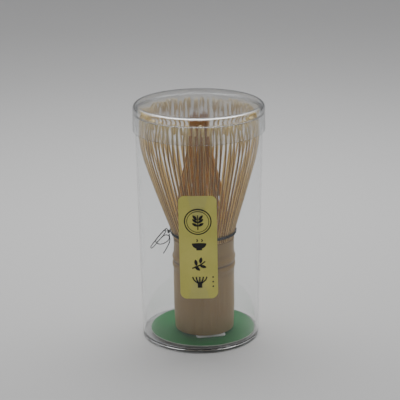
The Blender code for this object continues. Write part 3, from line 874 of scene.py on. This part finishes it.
def add_thread(name, line, diameter=THREAD_DIAMETER, ring=False):
    """Adds one run of the thread, which goes with the whisk."""
    points, along = thread_tube(line, diameter, ring=ring)
    thread = add_piece(name, points, black_cotton, ring=ring, along=along)
    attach(thread, "whisk")
    return thread


black_cotton = cotton_thread()
lacing = add_thread("thread_lacing", lacing_line())
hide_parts("lacing_band")

knot_out = np.array([math.cos(KNOT_ANGLE), math.sin(KNOT_ANGLE), 0])
knot_side = np.array([-knot_out[1], knot_out[0], 0])
knot_middle = np.array([*crown_centre(np.array(BAND_Z)), BAND_Z]) + knot_out * KNOT_REACH
knot = add_thread("thread_knot", knot_line(), KNOT_THREAD, ring=True)
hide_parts("lacing_knot")


# ---- Free thread -----------------------------------------------------
# The rest of the thread: two long loops of the bow and one end hang from the knot, and the
# other end stands off under it. The tub's wall keeps them in.

BOW_ROUTE = [
    (-15.9, -3.3, 54.0), (-17.0, -3.6, 53.2), (-18.4, -3.8, 51.7), (-19.9, -3.9, 49.9),
    (-21.3, -4.0, 48.1), (-22.6, -4.0, 46.4), (-23.4, -3.7, 45.0), (-23.2, -3.1, 44.1),
    (-22.2, -2.7, 44.6), (-21.1, -2.6, 45.9), (-19.9, -2.6, 47.4), (-18.6, -2.6, 48.9),
    (-17.4, -2.5, 50.3), (-16.6, -2.0, 51.4), (-16.2, -1.0, 52.0), (-16.5, 0.1, 52.0),
    (-17.5, 0.4, 51.3), (-18.6, 0.0, 50.2), (-19.7, -0.4, 49.0), (-20.7, -0.7, 47.8),
    (-21.3, -0.8, 46.7), (-20.8, -0.8, 46.2), (-19.7, -0.9, 47.1), (-18.6, -1.0, 48.4),
    (-17.4, -1.3, 49.6), (-16.2, -2.0, 50.3), (-15.1, -3.1, 50.4), (-14.4, -4.2, 49.8),
    (-14.3, -5.0, 48.4), (-14.9, -5.4, 46.8), (-15.7, -5.6, 45.2), (-16.6, -5.6, 43.6),
    (-17.5, -5.5, 42.1),
]
TAIL_ROUTE = [
    (-14.4, -5.8, 50.7), (-14.7, -6.2, 49.5), (-15.5, -6.4, 48.6), (-16.7, -6.4, 47.8),
    (-18.0, -6.3, 47.3), (-19.4, -6.1, 47.2), (-20.7, -5.8, 47.6),
]
TAIL_START = (-14.6, -5.0, 52.0)  # under the lacing
LEAD_MIDDLE = (-15.4, -3.2, 53.4)  # between the knot and the bow
ROUTE_STEPS = 12  # points from each place on a route to the next
LEAD_STEPS = 8

tail = add_thread("tail_thread", smooth_line([TAIL_START, *TAIL_ROUTE], ROUTE_STEPS))
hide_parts("thread_tail")

lead_line = smooth_line([knot_middle, LEAD_MIDDLE, *BOW_ROUTE[:2]], LEAD_STEPS)
lead = add_thread("thread_lead", lead_line[:1 - LEAD_STEPS])  # stops just inside the bow

bow_line = smooth_line(BOW_ROUTE, ROUTE_STEPS)
bow = add_thread("bow_thread", bow_line)
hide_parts("thread_bow")


# ---- Lid -------------------------------------------------------------
# A push-on lid of the same clear polystyrene, with a flat top, a rounded corner and a skirt that
# slips down over the tub's rim until the rib inside it lands on the rim.

LID_SKIRT_DEPTH = 8.0
LID_WALL = 0.75
LID_TOP_THICKNESS = 0.75
LID_HEADROOM = 3.25
LID_CORNER = 2.2
LID_STOP_WIDTH = 0.8
LID_STOP_DEPTH = 0.5
LID_DRAFT = 0.2
LID_GAP = 0.3

skirt_low = TUB_HEIGHT - LID_SKIRT_DEPTH
skirt_inside = RIM_RADIUS + LID_GAP
lid_stop = TUB_HEIGHT + LID_GAP
lid_under = lid_stop + LID_HEADROOM
lid_top = lid_under + LID_TOP_THICKNESS
lid_outline = rounded([
    (0, lid_top, 0),
    (skirt_inside + LID_WALL - LID_DRAFT, lid_top, LID_CORNER),
    (skirt_inside + LID_WALL, skirt_low, 0.08),
    (skirt_inside, skirt_low, 0.08),
    (skirt_inside, lid_stop, 0.05),
    (skirt_inside - LID_STOP_WIDTH, lid_stop, 0.2),
    (skirt_inside - LID_STOP_WIDTH, lid_stop + LID_STOP_DEPTH, 0.2),
    (skirt_inside - LID_DRAFT, lid_stop + LID_STOP_DEPTH, 0.1),
    (skirt_inside - LID_DRAFT, lid_under, LID_CORNER - LID_TOP_THICKNESS),
    (0, lid_under, 0),
], steps=8)
lid = add_piece(
    "clear_lid", turned(lid_outline, CASE_STEPS),
    clear_polystyrene("Clear polystyrene lid", "#f7f8f8", 0.05, 0.13),
)
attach(lid, "lid")
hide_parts("case_lid")


# ---- Label -----------------------------------------------------------
# A die-cut sticker of olive gold paper with round corners, smoothed on to the tub's front wall,
# and printed in black with a plain leaf roundel and three small pictures of tea things.

LABEL_WIDTH = 17.4
LABEL_HEIGHT = 50.2
LABEL_MIDDLE = (-0.8, 53.0)
LABEL_CORNER = 3.0
LABEL_GAP = 0.02
LABEL_THICKNESS = 0.16
LABEL_LEAN = math.radians(0.65)
PRINT_LOW = LABEL_GAP + LABEL_THICKNESS - 0.01  # the ink goes this little into the paper
PRINT_HIGH = LABEL_GAP + LABEL_THICKNESS + 0.02
MARK_POINTS = 48  # round the edge of a mark
MARK_RINGS = np.linspace(0, 1, 5)[:, None]  # from its middle to its edge
LABEL_RINGS = np.linspace(0, 1, 14)[:, None]


def gold_paper():
    """Metallic gold paper seen flat on: olive, with a satin gloss and a fine tooth."""
    material, tree, place = new_material("Olive gold paper")
    tooth = add_node(tree, "TexNoise", {"Vector": place, "Scale": 1 / (0.5 * MM), "Detail": 3.0})
    cloud = add_node(tree, "TexNoise", {"Vector": place, "Scale": 1 / (12 * MM), "Detail": 2.0})
    mixed = add_node(
        tree, "Math", {0: tooth.outputs["Fac"], 1: 0.4, 2: cloud.outputs["Fac"]},
        operation="MULTIPLY_ADD",
    )
    spread = add_node(tree, "MapRange", {"Value": mixed.outputs[0], "From Min": 0.4, "From Max": 1.0})
    return finish(material, "#d8d268", [(spread.outputs["Result"], "#eae27c")],
                  {"Metallic": 0.15, "Roughness": 0.45}, relief=(tooth.outputs["Fac"], 0.2, 0.02))


def printing_ink():
    """Black ink: flat, a little uneven where it sank into the paper."""
    material, tree, place = new_material("Black printing ink")
    sunk = add_node(tree, "TexNoise", {"Vector": place, "Scale": 1 / (0.7 * MM), "Detail": 3.0})
    return finish(material, "#0c0c09", [(sunk.outputs["Fac"], "#1f1e14")], {"Roughness": 0.5})


def on_wall(across, up, proud):
    """A flat drawing laid on the tub: leant by the label's lean and pushed straight back until it
    meets the wall, at the wall's radius plus how far it stands proud of it."""
    x = LABEL_MIDDLE[0] + across * math.cos(LABEL_LEAN) - up * math.sin(LABEL_LEAN)
    z = LABEL_MIDDLE[1] + up * math.cos(LABEL_LEAN) + across * math.sin(LABEL_LEAN)
    radius = wall_radius(z) + proud
    angle = np.arcsin(x / wall_radius(z))
    return np.stack([radius * np.sin(angle), -radius * np.cos(angle), z], axis=-1)


def pressed(across, up, low, high):
    """A sheet pressed on to the wall, as one closed tube of points. The drawing is a grid (row,
    column) whose columns run round it, from its middle out to its edge. Its front stands at high
    and its back at low."""
    front, back = on_wall(across, up, high), on_wall(across, up, low)
    return np.concatenate([front, back[::-1]])[None]


def label_sheet():
    """The label's outline is a rectangle with quarter circles at its corners. Each ring of the
    sheet is that outline drawn in towards its middle."""
    turn = full_turn(2 * MARK_POINTS) + 1e-6  # so that no sine or cosine is quite 0
    half = np.array([LABEL_WIDTH, LABEL_HEIGHT]) / 2 - LABEL_CORNER
    quarter = np.stack([np.sign(np.cos(turn)), np.sign(np.sin(turn))])
    edge_x = quarter[0] * half[0] + LABEL_CORNER * np.cos(turn)
    edge_z = quarter[1] * half[1] + LABEL_CORNER * np.sin(turn)
    across, up = edge_x * LABEL_RINGS, edge_z * LABEL_RINGS
    return pressed(across, up, LABEL_GAP, LABEL_GAP + LABEL_THICKNESS)


label = add_piece("gold_label", label_sheet(), gold_paper())
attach(label, "case")
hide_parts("label")


def blob(middle, reach_x, reach_z, angle=0.0):
    """A filled round mark, turned by an angle: its edge is given by how far it reaches across and
    up at each turn."""
    turn = full_turn(MARK_POINTS)
    across, up = MARK_RINGS * reach_x(turn), MARK_RINGS * reach_z(turn)
    c, s = math.cos(angle), math.sin(angle)
    x, z = middle[0] + across * c - up * s, middle[1] + across * s + up * c
    return pressed(x, z, PRINT_LOW, PRINT_HIGH)


def leaf(middle, length, width, angle):
    """A leaf: two equal curves that meet in a point at each end, as a circle whose height is
    squeezed by a power of the sine of the turn."""
    return blob(
        middle, lambda t: length / 2 * np.cos(t),
        lambda t: width / 2 * np.sin(t) * np.abs(np.sin(t)) ** 0.6, math.radians(angle),
    )


def stroke(points, width):
    """A pen stroke of even width along a smooth line, as a flat strip closed at its ends."""
    line = smooth_line(points, MARK_POINTS // (2 * (len(points) - 1)) + 1)
    along = unit(np.gradient(line, axis=0))
    normal = np.stack([-along[:, 1], along[:, 0]], axis=1) * width / 2
    edge = np.concatenate([line + normal, (line - normal)[::-1]])
    middle = np.concatenate([line, line[::-1]])
    drawing = middle + (edge - middle) * MARK_RINGS[..., None]
    return pressed(drawing[..., 0], drawing[..., 1], PRINT_LOW, PRINT_HIGH)


def hoop(middle, radius, width):
    """A printed ring: an oblong section, width across, carried round a circle."""
    turn = full_turn(2 * MARK_POINTS)
    r = radius + width / 2 * np.array([-1, 1, 1, -1])[:, None]
    proud = np.array([PRINT_HIGH, PRINT_HIGH, PRINT_LOW, PRINT_LOW])[:, None]
    across, up = middle[0] + r * np.cos(turn), middle[1] + r * np.sin(turn)
    return on_wall(across, up, proud)[None]


EMBLEM = (0.0, 12.8)  # across and up from the label's middle, as the other pictures' places are
BOWL, SPRIG, WHISK = (0.4, 1.6), (0.4, -8.0), (0.4, -16.8)
ink = printing_ink()


def add_print(name, points, ring=False):
    """Adds one printed mark, which stays with the label."""
    mark = add_piece(name, points, ink, ring=ring)
    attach(mark, "case")


add_print("print_hoop", hoop(EMBLEM, 6.0, 0.55), ring=True)
add_print("print_inner_hoop", hoop(EMBLEM, 5.0, 0.3), ring=True)
for side in (-1, 1):
    for step, (height, angle) in enumerate([(-1.4, 30), (0.4, 38), (2.0, 50)]):
        spot = (EMBLEM[0] + side * 1.35, EMBLEM[1] + height)
        add_print(f"print_leaf_{step}_{'left' if side < 0 else 'right'}",
                  leaf(spot, 3.0, 1.25, angle if side > 0 else 180 - angle))
add_print("print_stem", stroke([(EMBLEM[0], EMBLEM[1] - 3.8), (EMBLEM[0], EMBLEM[1] + 3.2)], 0.45))

bowl_x, bowl_z = BOWL
add_print("print_bowl", blob(
    (bowl_x, bowl_z + 0.6), lambda t: 3.3 * np.cos(t),
    lambda t: np.where(np.sin(t) < 0, 2.6, 0.35) * np.sin(t),
))
add_print("print_bowl_foot", stroke([(bowl_x - 1.3, bowl_z - 2.2), (bowl_x + 1.3, bowl_z - 2.2)], 0.8))
for step, shift in enumerate((-1.1, 1.1)):
    steam_x = bowl_x + shift
    steam = [(steam_x, bowl_z + 1.5), (steam_x + 0.4, bowl_z + 2.1), (steam_x, bowl_z + 2.8)]
    add_print(f"print_steam_{step}", stroke(steam, 0.5))

sprig_x, sprig_z = SPRIG
add_print("print_sprig", stroke([(sprig_x - 3.4, sprig_z - 1.9), (sprig_x + 0.2, sprig_z - 0.3),
                                 (sprig_x + 2.6, sprig_z + 1.5)], 0.6))
sprig_leaves = [(-1.6, 0.9, 100), (0.6, 2.0, 80), (1.6, -1.0, -20), (-1.0, -1.9, -40)]
for step, (across, up, angle) in enumerate(sprig_leaves):
    add_print(f"print_sprig_leaf_{step}", leaf((sprig_x + across, sprig_z + up), 3.2, 1.5, angle))

whisk_x, whisk_z = WHISK
add_print("print_whisk_handle", stroke([(whisk_x, whisk_z - 2.7), (whisk_x, whisk_z - 0.4)], 2.0))
for step, lean in enumerate(np.linspace(-1, 1, 5)):
    tine = [(whisk_x + 0.8 * lean, whisk_z - 0.5), (whisk_x + 2.6 * lean, whisk_z + 1.1),
            (whisk_x + 3.3 * lean, whisk_z + 2.7)]
    add_print(f"print_whisk_tine_{step}", stroke(tine, 0.6))
for step, drop in enumerate((0, 2.3, 4.6)):
    dot = (6.5, whisk_z + 2.3 - drop)
    add_print(f"print_dot_{step}", blob(dot, lambda t: 0.4 * np.cos(t), lambda t: 0.4 * np.sin(t)))
